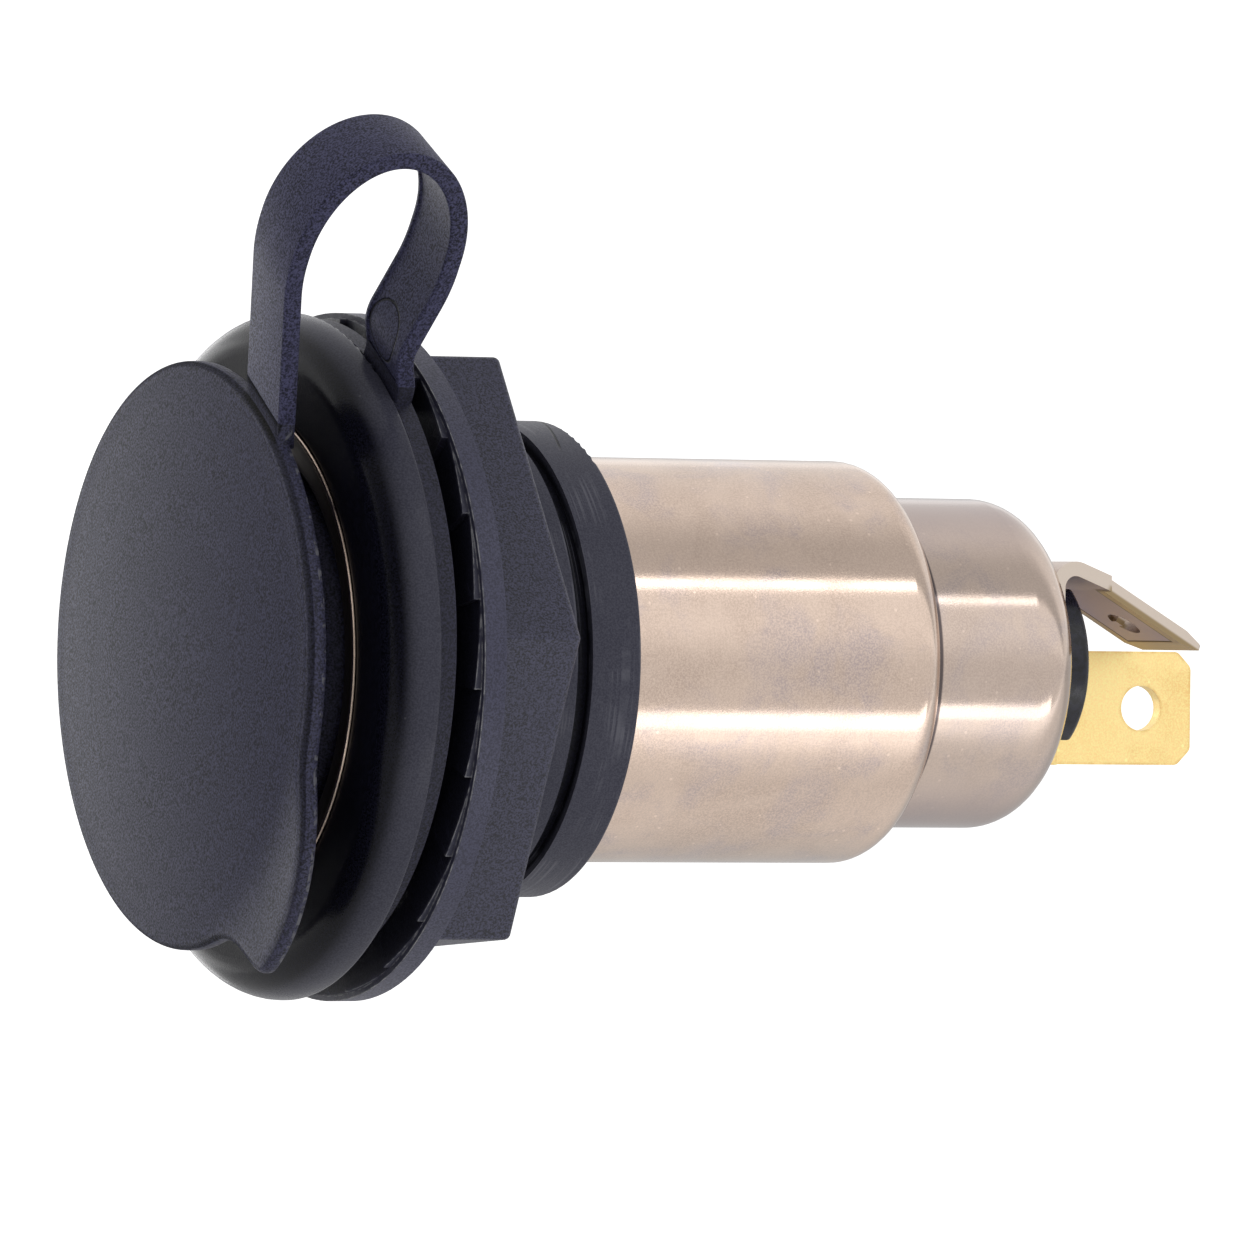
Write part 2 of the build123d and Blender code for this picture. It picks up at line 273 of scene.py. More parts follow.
def stray_nicks_and_glints():
    """Group: small sparse spots, one inside them and zero between, for nicks and for painted glints."""
    name = "Stray nicks"
    if name in bpy.data.node_groups:
        return bpy.data.node_groups[name]
    sheet, given, made = effect_group(
        name,
        [
            ("Place", "NodeSocketVector", None),
            ("Nicks per metre", "NodeSocketFloat", 900.0),
            ("Size", "NodeSocketFloat", 0.18),
        ],
        [("Share", "NodeSocketFloat")],
    )
    cells = sheet.add(
        "ShaderNodeTexVoronoi",
        {"Vector": given.outputs["Place"], "Scale": given.outputs["Nicks per metre"]},
    )
    chance = sheet.add("ShaderNodeSeparateColor", {"Color": cells.outputs["Color"]})
    kept = sheet.math("GREATER_THAN", chance.outputs["Red"], 0.72)
    edge = sheet.math("MULTIPLY", given.outputs["Size"], 0.6)
    spot = sheet.band(cells.outputs["Distance"], given.outputs["Size"], edge)
    sheet.join(sheet.math("MULTIPLY", spot, kept), made.inputs["Share"])
    return sheet.tree


def scuff_marks():
    """Group: fine slanting scratches in loose bunches."""
    name = "Scuff marks"
    if name in bpy.data.node_groups:
        return bpy.data.node_groups[name]
    sheet, given, made = effect_group(
        name,
        [("Place", "NodeSocketVector", None), ("Slant", "NodeSocketVector", (0.6, 0.3, -0.9))],
        [("Share", "NodeSocketFloat")],
    )
    lean = sheet.add(
        "ShaderNodeVectorRotate",
        {"Vector": given.outputs["Place"], "Rotation": given.outputs["Slant"]},
        rotation_type="EULER_XYZ",
    )
    stretch = {0: lean.outputs["Vector"], 1: (14000.0, 700.0, 700.0)}
    drawn = sheet.add("ShaderNodeVectorMath", stretch, operation="MULTIPLY")
    lines = sheet.add("ShaderNodeTexNoise", {"Vector": drawn.outputs["Vector"], "Scale": 1.0, "Detail": 1.0})
    place = given.outputs["Place"]
    bunches = placed(sheet, cloudy_patches(), Place=place, Patches_per_metre=240.0, Low=0.5, High=0.62)
    share = sheet.math("MULTIPLY", sheet.band(lines.outputs["Fac"], 0.6, 0.72), bunches.outputs["Share"])
    sheet.join(share, made.inputs["Share"])
    return sheet.tree


def placed(sheet, group, **values):
    """A shared effect placed in a tree, with underscores in the input names read as spaces."""
    node = sheet.add("ShaderNodeGroup", node_tree=group)
    for name, value in values.items():
        socket = node.inputs[name.replace("_", " ")]
        if isinstance(value, bpy.types.NodeSocket):
            sheet.join(value, socket)
        else:
            socket.default_value = value
    return node


class Finish:
    """A material in the making: tints are laid over one another, reliefs are added up in metres."""

    def __init__(self, name, base, roughness, metallic=0.0, specular=0.5):
        self.material = bpy.data.materials.new(name)
        self.material.use_nodes = True
        self.sheet = NodeSheet(self.material.node_tree)
        self.shader = self.material.node_tree.nodes["Principled BSDF"]
        self.place = self.sheet.add("ShaderNodeTexCoord").outputs["Object"]
        self.axis = placed(self.sheet, about_axis(), Place=self.place)
        self.skin = colour(base)
        self.gloss = roughness
        self.relief = None
        self.edge_radius = 0.0
        self.shader.inputs["Metallic"].default_value = metallic
        self.shader.inputs["Specular IOR Level"].default_value = specular

    def effect(self, group, **values):
        return placed(self.sheet, group, Place=self.place, **values).outputs

    def tint(self, share, shade, strength=1.0):
        """Lays a colour over the skin where the share is high."""
        share = self.sheet.math("MULTIPLY", share, strength)
        self.skin = self.sheet.mix(share, self.skin, colour(shade))

    def roughen(self, share, change):
        """Adds to the roughness where the share is high."""
        self.gloss = self.sheet.math("MULTIPLY_ADD", share, change, third=self.gloss)

    def emboss(self, share, height):
        """Raises the surface by a height in metres where the share is high."""
        if self.relief is None:
            self.relief = self.sheet.math("MULTIPLY", share, height)
        else:
            self.relief = self.sheet.math("MULTIPLY_ADD", share, height, third=self.relief)

    def product(self, first, *others):
        """Shares multiplied: high only where all of them are high."""
        for other in others:
            first = self.sheet.math("MULTIPLY", first, other)
        return first

    def soften(self, radius):
        """Shades the edges as if they were rounded to a radius."""
        self.edge_radius = radius

    def within(self, value, low, high, soft):
        """One between low and high, fading over a soft width outside them."""
        rising = self.sheet.band(value, low - soft, low)
        falling = self.sheet.band(value, high + soft, high)
        return self.sheet.math("MULTIPLY", rising, falling)

    def along(self, direction, origin):
        """The distance from an origin along a direction, both of the part."""
        shift = {0: self.place, 1: tuple(origin)}
        offset = self.sheet.add("ShaderNodeVectorMath", shift, operation="SUBTRACT")
        way = {0: offset.outputs["Vector"], 1: tuple(direction)}
        return self.sheet.add("ShaderNodeVectorMath", way, operation="DOT_PRODUCT").outputs["Value"]

    def facing(self, direction, low, high):
        """One where the surface faces a direction of the part, zero where it faces away."""
        normal = self.sheet.add("ShaderNodeTexCoord").outputs["Normal"]
        likeness = self.sheet.add("ShaderNodeVectorMath", {0: normal, 1: direction}, operation="DOT_PRODUCT")
        return self.sheet.band(likeness.outputs["Value"], low, high)

    def done(self):
        for value, name in ((self.skin, "Base Color"), (self.gloss, "Roughness")):
            if isinstance(value, bpy.types.NodeSocket):
                self.sheet.join(value, self.shader.inputs[name])
            else:
                self.shader.inputs[name].default_value = value
        bump = self.sheet.add("ShaderNodeBump", {"Strength": 1.0, "Distance": 1.0, "Height": self.relief})
        if self.edge_radius:
            rounded = self.sheet.add("ShaderNodeBevel", {"Radius": self.edge_radius}, samples=8)
            self.sheet.join(rounded.outputs["Normal"], bump.inputs["Normal"])
        self.sheet.join(bump.outputs["Normal"], self.shader.inputs["Normal"])
        return self.material


def shaded(base, factor):
    """A colour made darker or paler."""
    return [min(1.0, channel * factor) for channel in base[:3]]


def moulded(name, base, grains, depth, roughness, edge_width, edge_rub_and_highlight, specular=0.4):
    """Dark moulded plastic: a grain in colour, gloss and surface, faint flow clouds, and edges painted paler,
    partly as rubbed wear and partly as a painted highlight.
    """
    finish = Finish(name, shaded(base, 0.2), roughness, specular=specular)
    grain = finish.effect(fine_grain(), Grains_per_metre=grains)
    clouds = finish.effect(cloudy_patches(), Patches_per_metre=260.0)
    edges = finish.effect(rubbed_and_highlit_edges(), Width=edge_width)
    finish.tint(grain["Shade"], shaded(base, 2.2))
    finish.tint(clouds["Share"], shaded(base, 1.5), 0.2)
    # Paler edges: partly rubbed wear, partly a painted highlight along the edges.
    finish.tint(edges["Share"], [channel * 3.0 + 0.03 for channel in base], edge_rub_and_highlight)
    finish.roughen(grain["Shade"], -0.12)
    finish.emboss(grain["Height"], depth)
    return finish


def plated(name, base, tarnish, stain, roughness):
    """Plated or bare sheet: cloudy tarnish in two tints, fine grain, polishing lines and bright specks
    painted in as glints.
    """
    finish = Finish(name, base, roughness, metallic=1.0)
    clouds = finish.effect(cloudy_patches(), Patches_per_metre=170.0, Low=0.38, High=0.7)
    stains = finish.effect(cloudy_patches(), Patches_per_metre=260.0, Low=0.46, High=0.7)
    grain = finish.effect(fine_grain(), Grains_per_metre=10000.0)
    lines = finish.effect(turned_lines(), Lines_per_metre=9000.0, Runs_per_turn=24.0)
    specks = finish.effect(stray_nicks_and_glints(), Nicks_per_metre=1400.0, Size=0.16)
    finish.tint(clouds["Share"], tarnish, 0.7)
    finish.tint(stains["Share"], stain, 0.75)
    finish.tint(grain["Shade"], shaded(base, 1.2), 0.6)
    finish.tint(lines["Share"], shaded(base, 0.8), 0.14)
    # Painted glints: small bright specks like sparkles on the plating's grain.
    finish.tint(specks["Share"], shaded(base, 1.4), 0.6)
    finish.roughen(clouds["Share"], 0.05)
    finish.emboss(grain["Height"], 0.0000018)
    finish.emboss(lines["Share"], -0.0000002)
    return finish


def dress(node, material):
    """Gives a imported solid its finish."""
    solid = frame["nodes"][node]
    solid.data.materials.clear()
    solid.data.materials.append(material)


def colour_property(name, description, default):
    """A colour property."""
    return FloatVectorProperty(name=name, description=description, subtype="COLOR", default=default)


class SocketFinishes(bpy.types.PropertyGroup):
    """Colours of the socket's materials."""

    sleeve: colour_property("Sleeve", "Colour of the bezel's moulded plastic", (0.004, 0.004, 0.008))
    nut: colour_property("Nut", "Colour of the lock nut's plastic", (0.029, 0.029, 0.052))
    # The cap has this colour; the strap gets a paler copy as painted light and the ring a darker copy as
    # painted shade.
    moulding: colour_property("Soft moulding", "Colour of the cap, strap and ring", (0.022, 0.022, 0.045))
    nickel: colour_property("Nickel", "Colour of the clean plating", (0.62, 0.49, 0.407))
    tarnish: colour_property("Tarnish", "Colour of the plating's darker clouds", (0.475, 0.365, 0.30))
    stain: colour_property("Stain", "Cooler tint in the plating", (0.43, 0.36, 0.365))
    brass: colour_property("Brass", "Colour of the brass terminal", (1.0, 0.735, 0.33))


def length_property(name, description, default):
    """A length property, in metres."""
    return FloatProperty(name=name, description=description, unit="LENGTH", default=default, precision=5)


class StrapSizes(bpy.types.PropertyGroup):
    """Sizes of the strap's loop."""

    thickness: length_property("Thickness", "Thickness of the strap", 0.001)
    corner: length_property("Corner", "Rounding of the strap's edges", 0.00015)
    rim: length_property("Rim", "Width of the rims beside the inner face's hollow", 0.0003)
    hollow: length_property("Hollow", "Depth of the inner face's hollow", 0.00012)
    droop: length_property("Droop", "How much lower the loop's far edge hangs at the top", 0.0006)
    mark_y: length_property("Mark across", "Place of the ejector mark across the strap", 0.0003)
    mark_z: length_property("Mark height", "Height of the ejector mark", 0.021)
    mark_radius: length_property("Mark radius", "Radius of the ejector mark", 0.00165)
    cap_x: length_property("Cap end", "Place of the strap's cap end along the axis", -0.00553)
    cap_z: length_property("Cap height", "Height of the strap's cap end", 0.01505)
    belly: length_property("Belly", "Height at which the loop is widest", 0.0272)
    front_turn: length_property("Front turn", "Height at which the front leg turns upright", 0.0257)
    rear_turn: length_property("Rear turn", "Height at which the rear leg turns upright", 0.0254)
    turn_radius: length_property("Turn radius", "Radius of both legs' upper turns", 0.01)
    lean_x: length_property("Lean", "Place along the axis of the rear leg's foremost point", -0.00025)
    lean_z: length_property("Lean height", "Height of the rear leg's foremost point", 0.0209)
    foot_z: length_property("Foot", "Height at which the rear leg stands on the ring", 0.0189)
    foot_radius: length_property("Foot radius", "Radius of the rear leg's lower turns", 0.0025)
    ring_z: length_property("Ring height", "Height of the strap's ring end", 0.0192)


def angle_property(name, description, degrees):
    """An angle property, given in degrees."""
    return FloatProperty(name=name, description=description, subtype="ANGLE", default=math.radians(degrees))


class StageSettings(bpy.types.PropertyGroup):
    """The camera's place and the floor."""

    lift: angle_property("Lift", "Turn of the view about the socket's axis", 35.0)
    swing: angle_property("Swing", "Turn of the view towards the cap", 27.4)
    roll: angle_property("Roll", "Roll of the camera", 0.65)
    distance: length_property("Distance", "Distance of the camera from the socket", 0.8)
    lens: FloatProperty(name="Lens", description="Focal length of the camera, in millimetres", default=424.0)
    aim_x: length_property("Aim", "Point of the axis that the view is centred on", 0.0203)
    aim_up: length_property("Aim above", "How far the view's centre is above the axis", 0.0019)
    floor_z: length_property("Floor", "Height of the floor", -0.35)


def straight_run(first, last, step):
    """Points from first up to last, with the direction of travel at each."""
    count = max(1, round((last - first).length / step))
    heading = (last - first).normalized()
    return [(first.lerp(last, index / count), heading) for index in range(count)]


def rounded_run(corners, radii, step):
    """Points along straight runs joined by arcs, with the direction of travel at each."""
    corners = [Vector(corner) for corner in corners]
    run = []
    here = corners[0]
    for before, corner, after, radius in zip(corners, corners[1:], corners[2:], radii):
        into = (corner - before).normalized()
        away = (after - corner).normalized()
        turn = math.atan2(into.cross(away), into.dot(away))
        trim = radius * math.tan(abs(turn) / 2)
        run += straight_run(here, corner - into * trim, step)
        side = math.copysign(1.0, turn)
        spoke = Vector((into.y, -into.x)) * radius * side
        centre = corner - into * trim - spoke
        count = max(2, round(radius * abs(turn) / step))
        for index in range(count):
            swing = Matrix.Rotation(turn * index / count, 2)
            run.append((centre + swing @ spoke, swing @ into))
        here = corner + away * trim
    return run + straight_run(here, corners[-1], step)


def strap_path(sizes):
    """The strap's centreline in (X, Z) with its directions of travel, from the cap to the ring."""
    half = sizes.thickness / 2
    step = 0.0002
    front_x = STRAP_LOW.x + half
    rear_x = STRAP_HIGH.x - half
    path = rounded_run(
        [(sizes.cap_x, sizes.cap_z), (front_x, sizes.front_turn), (front_x, sizes.belly)],
        [sizes.turn_radius],
        step,
    )
    reach = (rear_x - front_x) / 2
    rise = STRAP_HIGH.z - half - sizes.belly
    count = round(math.pi * (reach + rise) / 2 / step)
    for index in range(count):
        angle = math.pi * (1 - index / count)
        spot = Vector((front_x + reach + reach * math.cos(angle), sizes.belly + rise * math.sin(angle)))
        heading = Vector((reach * math.sin(angle), -rise * math.cos(angle)))
        path.append((spot, heading.normalized()))
    path += rounded_run(
        [
            (rear_x, sizes.belly),
            (rear_x, sizes.rear_turn),
            (sizes.lean_x, sizes.lean_z),
            (half, sizes.foot_z),
            (half, 0.0),
        ],
        [sizes.turn_radius, sizes.foot_radius, sizes.foot_radius],
        step,
    )
    crown = max(range(len(path)), key=lambda index: path[index][0].y)
    front = [stop for stop in path[:crown] if stop[0].y > STRAP_LOW.z]
    rear = [stop for stop in path[crown:] if stop[0].y > sizes.ring_z]
    return front + rear


def strap_section(width, thickness, corner, rim, hollow):
    """The strap's section as (across, outwards) points, once round, with a hollow on its inner face."""
    points = []
    for side_across, side_out, start in ((1, 1, 0.0), (-1, 1, 90.0), (-1, -1, 180.0), (1, -1, 270.0)):
        centre = (side_across * (width / 2 - corner), side_out * (thickness / 2 - corner))
        for index in range(5):
            angle = math.radians(start + 90.0 * index / 4)
            points.append((centre[0] + corner * math.cos(angle), centre[1] + corner * math.sin(angle)))
        if (side_across, side_out) == (-1, -1):
            edge, face, floor = width / 2 - rim, -thickness / 2, hollow - thickness / 2
            points += [(-edge, face), (-edge + hollow, floor), (edge - hollow, floor), (edge, face)]
    return points


class SOCKET_OT_dress_bezel(bpy.types.Operator):
    """Gives the bezel its moulded plastic, with a painted highlight on the rounded rim, a rubbed sleeve and
    the thread's start darkened with painted shade
    """

    bl_idname = "socket.dress_bezel"
    bl_label = "Dress the bezel"

    def execute(self, context):
        base = context.scene.socket_finishes.sleeve
        finish = moulded(
            "Sleeve plastic", base, grains=9000.0, depth=0.000008, roughness=0.27,
            edge_width=0.0001, edge_rub_and_highlight=0.3, specular=0.12,
        )
        rubs = finish.effect(turned_lines(), Lines_per_metre=7000.0, Runs_per_turn=5.0, Low=0.46, High=0.64)
        along, radius = finish.axis.outputs["Along"], finish.axis.outputs["Radius"]
        behind = finish.sheet.band(along, 0.0, 0.4 * SLEEVE_HIGH.x)
        bare = finish.effect(cloudy_patches(), Patches_per_metre=160.0, Low=0.5, High=0.62)
        rubbed = finish.product(rubs["Share"], bare["Share"], behind)
        crest = finish.sheet.band(radius, SLEEVE_RADIUS - 0.0005, SLEEVE_RADIUS - 0.0001)
        crest = finish.product(behind, crest)
        dust_and_sheen = finish.effect(fine_grain(), Grains_per_metre=10000.0)["Shade"]
        finish.tint(crest, (0.056, 0.056, 0.080), 0.9)
        finish.tint(finish.product(crest, dust_and_sheen), (0.100, 0.100, 0.130), 0.6)
        finish.tint(rubbed, (0.15, 0.15, 0.18), 0.7)
        finish.roughen(behind, 0.2)
        # Painted highlight: the flange's rounded outer rim is painted paler, with a grainy sheen.
        rim = finish.sheet.band(radius, SLEEVE_HIGH.y - 0.0008, SLEEVE_HIGH.y)
        finish.tint(rim, (0.052, 0.052, 0.074), 0.85)
        finish.tint(finish.product(rim, dust_and_sheen), (0.095, 0.095, 0.125), 0.5)
        nicks = finish.effect(stray_nicks_and_glints(), Nicks_per_metre=700.0, Size=0.07)
        finish.tint(nicks["Share"], (0.16, 0.16, 0.17), 0.3)
        turn = finish.axis.outputs["Turn"]
        lead, first_turn, half_line = 0.0205, 0.653, 0.00004
        start_line = finish.sheet.math("MULTIPLY_ADD", turn, -lead, third=SLEEVE_HIGH.x + lead * first_turn)
        off_line = finish.sheet.math("SUBTRACT", along, start_line)
        thread_start = finish.within(off_line, -half_line, half_line, 0.00006)
        thread_start = finish.product(thread_start, finish.within(turn, 0.64, 0.725, 0.012))
        # Painted shade: the thread's start is a shallow groove, darkened as if shaded.
        finish.tint(thread_start, (0.002, 0.002, 0.004), 0.9)
        finish.emboss(thread_start, -0.00006)
        dress("bezel_sleeve", finish.done())
        return {"FINISHED"}


class SOCKET_OT_dress_nut(bpy.types.Operator):
    """Gives the lock nut its plastic, with a toothed front darkened by painted shade and a nicked edge"""

    bl_idname = "socket.dress_nut"
    bl_label = "Dress the lock nut"

    def execute(self, context):
        base = context.scene.socket_finishes.nut
        finish = moulded(
            "Nut plastic", base, grains=9000.0, depth=0.000011, roughness=0.52,
            edge_width=0.00009, edge_rub_and_highlight=0.5,
        )
        along = finish.axis.outputs["Along"]
        # Painted shade: the toothed front face is darkened as if in the shadow of the parts before it.
        front = finish.sheet.band(along, NUT_FACE_X + 0.00015, NUT_FACE_X + 0.00003)
        finish.tint(front, (0.003, 0.003, 0.007), 0.85)
        nicks = finish.effect(rubbed_and_highlit_edges(), Width=0.00016, Breaks=1.0)
        edge = finish.sheet.band(along, NUT_FACE_X + 0.0005, NUT_FACE_X + 0.0002)
        rim = finish.sheet.band(finish.axis.outputs["Radius"], NUT_HIGH.y - 0.0006, NUT_HIGH.y - 0.0002)
        nicked = finish.product(nicks["Share"], finish.product(edge, rim))
        finish.tint(rim, shaded(base, 2.2), 0.35)
        finish.tint(nicked, (0.40, 0.40, 0.41), 0.95)
        scuffs = finish.effect(scuff_marks(), Slant=(0.2, 0.9, 0.4))
        finish.tint(scuffs["Share"], shaded(base, 2.4), 0.4)
        dress("lock_nut", finish.done())
        return {"FINISHED"}


class SOCKET_OT_dress_can(bpy.types.Operator):
    """Gives the drawn can its clouded nickel plating, painted shade at the neck, the mouth and the cup's top
    and bottom, and scuffs at the shoulder
    """

    bl_idname = "socket.dress_can"
    bl_label = "Dress the can"

    def execute(self, context):
        colours = context.scene.socket_finishes
        finish = plated("Nickel plate", colours.nickel, colours.tarnish, colours.stain, 0.12)
        along, radius = finish.axis.outputs["Along"], finish.axis.outputs["Radius"]
        scuffs = finish.effect(scuff_marks())
        shoulder = finish.within(along, CAN_SHOULDER_X - 0.0085, CAN_SHOULDER_X - 0.0005, 0.004)
        finish.tint(finish.product(scuffs["Share"], shoulder), shaded(colours.nickel, 0.7), 0.3)
        cup = finish.sheet.band(along, CAN_SHOULDER_X, CAN_SHOULDER_X + 0.0003)
        finish.tint(cup, (0.45, 0.385, 0.35), 0.35)
        # Painted shade: the cup is darkened towards its top and its bottom side.
        finish.tint(finish.product(cup, finish.facing(UPPER_SIDE, 0.55, 0.95)), (0.39, 0.325, 0.31), 0.8)
        finish.tint(finish.product(cup, finish.facing(LOWER_SIDE, 0.6, 0.98)), (0.37, 0.305, 0.30), 0.7)
        # Painted shade: a dark band in the crevice at the neck, on the shoulder's foot and the cup's start.
        neck_shade = finish.within(along, CAN_SHOULDER_X - 0.0003, CAN_SHOULDER_X + 0.00052, 0.00012)
        inner = finish.sheet.band(radius, CUP_RADIUS + 0.00085, CUP_RADIUS + 0.00045)
        finish.tint(finish.product(neck_shade, inner), (0.08, 0.066, 0.07), 0.92)
        # Painted shade: the rolled mouth is darkened as if shaded by the cap before it, and made rougher.
        mouth_shade = finish.sheet.band(along, MOUTH_X + 0.0004, MOUTH_X)
        mouth_shade = finish.product(mouth_shade, finish.sheet.band(radius, LIP_RADIUS - 0.00016, LIP_RADIUS - 0.00022))
        finish.tint(mouth_shade, (0.03, 0.026, 0.024), 0.92)
        finish.roughen(mouth_shade, 0.4)
        well = finish.sheet.band(radius, WELL_RADIUS + 0.0004, WELL_RADIUS + 0.0002)
        before_cup = finish.sheet.band(along, CAN_SHOULDER_X - 0.0007, CAN_SHOULDER_X - 0.0012)
        well = finish.product(well, before_cup)
        finish.tint(well, (0.56, 0.52, 0.49), 0.85)
        finish.roughen(well, 0.12)
        finish.soften(0.00018)
        dress("socket_can", finish.done())
        return {"FINISHED"}


def soft_finish(name, base, specular=0.3):
    """The soft moulding of cap, strap and ring."""
    return moulded(
        name, base, grains=8500.0, depth=0.000012, roughness=0.62,
        edge_width=0.00013, edge_rub_and_highlight=0.3, specular=specular,
    )


class SOCKET_OT_dress_cap(bpy.types.Operator):
    """Gives the dust cap and its ring their soft grain, with a crowned face and a parting line; the ring's
    moulding is darkened as painted shade
    """

    bl_idname = "socket.dress_cap"
    bl_label = "Dress the dust cap"

    def execute(self, context):
        base = context.scene.socket_finishes.moulding
        # Painted shade: the ring gets a darker copy of the cap's moulding.
        dress("strap_ring", soft_finish("Soft ring", shaded(base, 0.55)).done())
        finish = soft_finish("Soft cap", base)
        radius = finish.axis.outputs["Radius"]
        along = finish.axis.outputs["Along"]
        face = finish.sheet.band(along, CAP_RIM_X - 0.0007, CAP_RIM_X - 0.0011)
        crown_fall = -4.4
        finish.emboss(finish.product(radius, radius, face), crown_fall)
        ragged = finish.effect(cloudy_patches(), Patches_per_metre=1300.0, Low=0.5, High=0.6)
        parting = finish.within(along, CAP_RIM_X - 0.00025, CAP_RIM_X, 0.00006)
        rim = finish.sheet.band(radius, CAP_HIGH.y - 0.0009, CAP_HIGH.y - 0.0004)
        flash = finish.product(parting, rim, ragged["Share"])
        finish.tint(flash, (0.15, 0.15, 0.17), 0.8)
        finish.emboss(flash, 0.00003)
        finish.soften(0.0011)
        dress("dust_cap", finish.done())
        return {"FINISHED"}


def strap_mesh(sizes):
    """The strap's section carried along its path, with the far edge hanging lower at the top."""
    width = STRAP_HIGH.y - STRAP_LOW.y
    section = strap_section(width, sizes.thickness, sizes.corner, sizes.rim, sizes.hollow)
    mesh = bpy.data.meshes.new("cap_strap_loop")
    skin = bmesh.new()
    rings = []
    path = strap_path(sizes)
    ends = {0: STRAP_LOW.z, len(path) - 1: sizes.ring_z}
    for index, (spot, heading) in enumerate(path):
        ring = []
        for across, out in section:
            place = spot + Vector((-heading.y, heading.x)) * out
            if index in ends:
                place += heading * (ends[index] - place.y) / heading.y
            lift = max(0.0, (place.y - sizes.belly) / (STRAP_HIGH.z - sizes.belly))
            sink = sizes.droop * lift * (across / width + 0.5)
            ring.append(skin.verts.new((place.x, across, place.y - sink)))
        rings.append(ring)
    for first, second in zip(rings, rings[1:]):
        for index in range(len(section)):
            after = (index + 1) % len(section)
            face = skin.faces.new((first[index], first[after], second[after], second[index]))
            face.smooth = True
    skin.faces.new(rings[0])
    skin.faces.new(reversed(rings[-1]))
    bmesh.ops.recalc_face_normals(skin, faces=skin.faces)
    skin.to_mesh(mesh)
    skin.free()
    mesh.set_sharp_from_angle(angle=math.radians(35.0))
    return mesh


def strap_finish(sizes, base):
    """The strap's soft moulding, with the ring of an ejector mark inside the rear leg, sunk and darkened as
    painted shade.
    """
    finish = soft_finish("Soft strap", base, specular=0.2)
    mark = (sizes.lean_x, sizes.mark_y, sizes.mark_z)
    offset = finish.sheet.add("ShaderNodeVectorMath", {0: finish.place, 1: mark}, operation="SUBTRACT")
    on_face = {0: offset.outputs["Vector"], 1: (0.0, 1.0, 1.0)}
    flat = finish.sheet.add("ShaderNodeVectorMath", on_face, operation="MULTIPLY")
    away = finish.sheet.add("ShaderNodeVectorMath", {0: flat.outputs["Vector"]}, operation="LENGTH")
    half_line = 0.00003
    ring = finish.within(
        away.outputs["Value"], sizes.mark_radius - half_line, sizes.mark_radius + half_line, 0.00007
    )
    rear_leg = finish.sheet.band(finish.axis.outputs["Along"], -0.004, -0.003)
    inside = finish.product(ring, finish.facing((-1.0, 0.0, 0.0), 0.3, 0.6), rear_leg)
    # Painted shade in the ejector mark's sunken ring.
    finish.tint(inside, (0.002, 0.002, 0.003), 0.9)
    finish.emboss(inside, -0.00012)
    return finish


class SOCKET_OT_make_strap(bpy.types.Operator):
    """Makes the strap's loop, hollow inside and with an ejector mark, bending between ring and cap"""

    bl_idname = "socket.make_strap"
    bl_label = "Make the strap"

    def execute(self, context):
        sizes = context.scene.strap_sizes
        # Painted light: the strap gets a paler copy of the cap's moulding.
        finish = strap_finish(sizes, shaded(context.scene.socket_finishes.moulding, 1.5))
        mesh = strap_mesh(sizes)
        strap = bpy.data.objects.new("cap_strap_loop", mesh)
        context.scene.collection.objects.link(strap)
        mesh.materials.append(finish.done())
        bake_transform(strap)
        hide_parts("cap_strap")
        return {"FINISHED"}


def folded_strip():
    """The ground terminal's plated strip, with a brassy seam on its side and a rim round its underside; the
    side is painted paler as painted light, the underside darker and bluer as a painted dark reflection, and
    the rim's step dark as painted shade.
    """
    finish = plated("Nickel strip", (0.52, 0.43, 0.375), (0.42, 0.34, 0.295), (0.40, 0.335, 0.33), 0.34)
    mount = next(entry for entry in frame["record"]["mounts"] if entry["name"] == "ground_tab")
    tip = Vector(mount["pos_m"])
    along = Vector(mount["axis"]).normalized()
    across = Vector((0.0, along.z, -along.y)).normalized()
    outwards = across.cross(along)
    from_tip = finish.along(along, tip)
    from_middle = finish.sheet.math("ABSOLUTE", finish.along(across, tip))
    depth = finish.along(outwards, tip)
    side = finish.facing(tuple(across), 0.7, 0.9)
    # Painted light: the side faces are painted paler.
    finish.tint(side, (0.66, 0.57, 0.49), 0.9)
    on_tab = finish.sheet.band(from_tip, -TAB_LENGTH - 0.0002, -TAB_LENGTH + 0.0002)
    seam = finish.product(finish.sheet.band(depth, -0.00005, -0.0002), side)
    finish.tint(finish.product(seam, on_tab), (0.26, 0.18, 0.07), 0.85)
    side_rim, tip_rim, fade = 0.0006, 0.0013, 0.0002
    long_rim = finish.sheet.band(from_middle, TAB_HALF_WIDTH - side_rim - fade, TAB_HALF_WIDTH - side_rim)
    rim = finish.sheet.math("MAXIMUM", long_rim, finish.sheet.band(from_tip, -tip_rim - fade, -tip_rim))
    groove = finish.product(rim, finish.sheet.math("SUBTRACT", 1.0, rim))
    under = finish.facing(tuple(-outwards), 0.7, 0.9)
    # Painted dark reflection: the underside is painted darker and bluer.
    finish.tint(under, (0.28, 0.24, 0.33), 0.9)
    finish.roughen(under, 0.2)
    under_tab = finish.product(under, on_tab)
    finish.tint(finish.product(rim, under_tab), (0.34, 0.27, 0.18), 0.8)
    # Painted shade: a dark line in the step at the rim's edge.
    finish.tint(finish.product(groove, under_tab), (0.02, 0.015, 0.015), 3.5)
    finish.emboss(finish.product(rim, under_tab), 0.0001)
    return finish


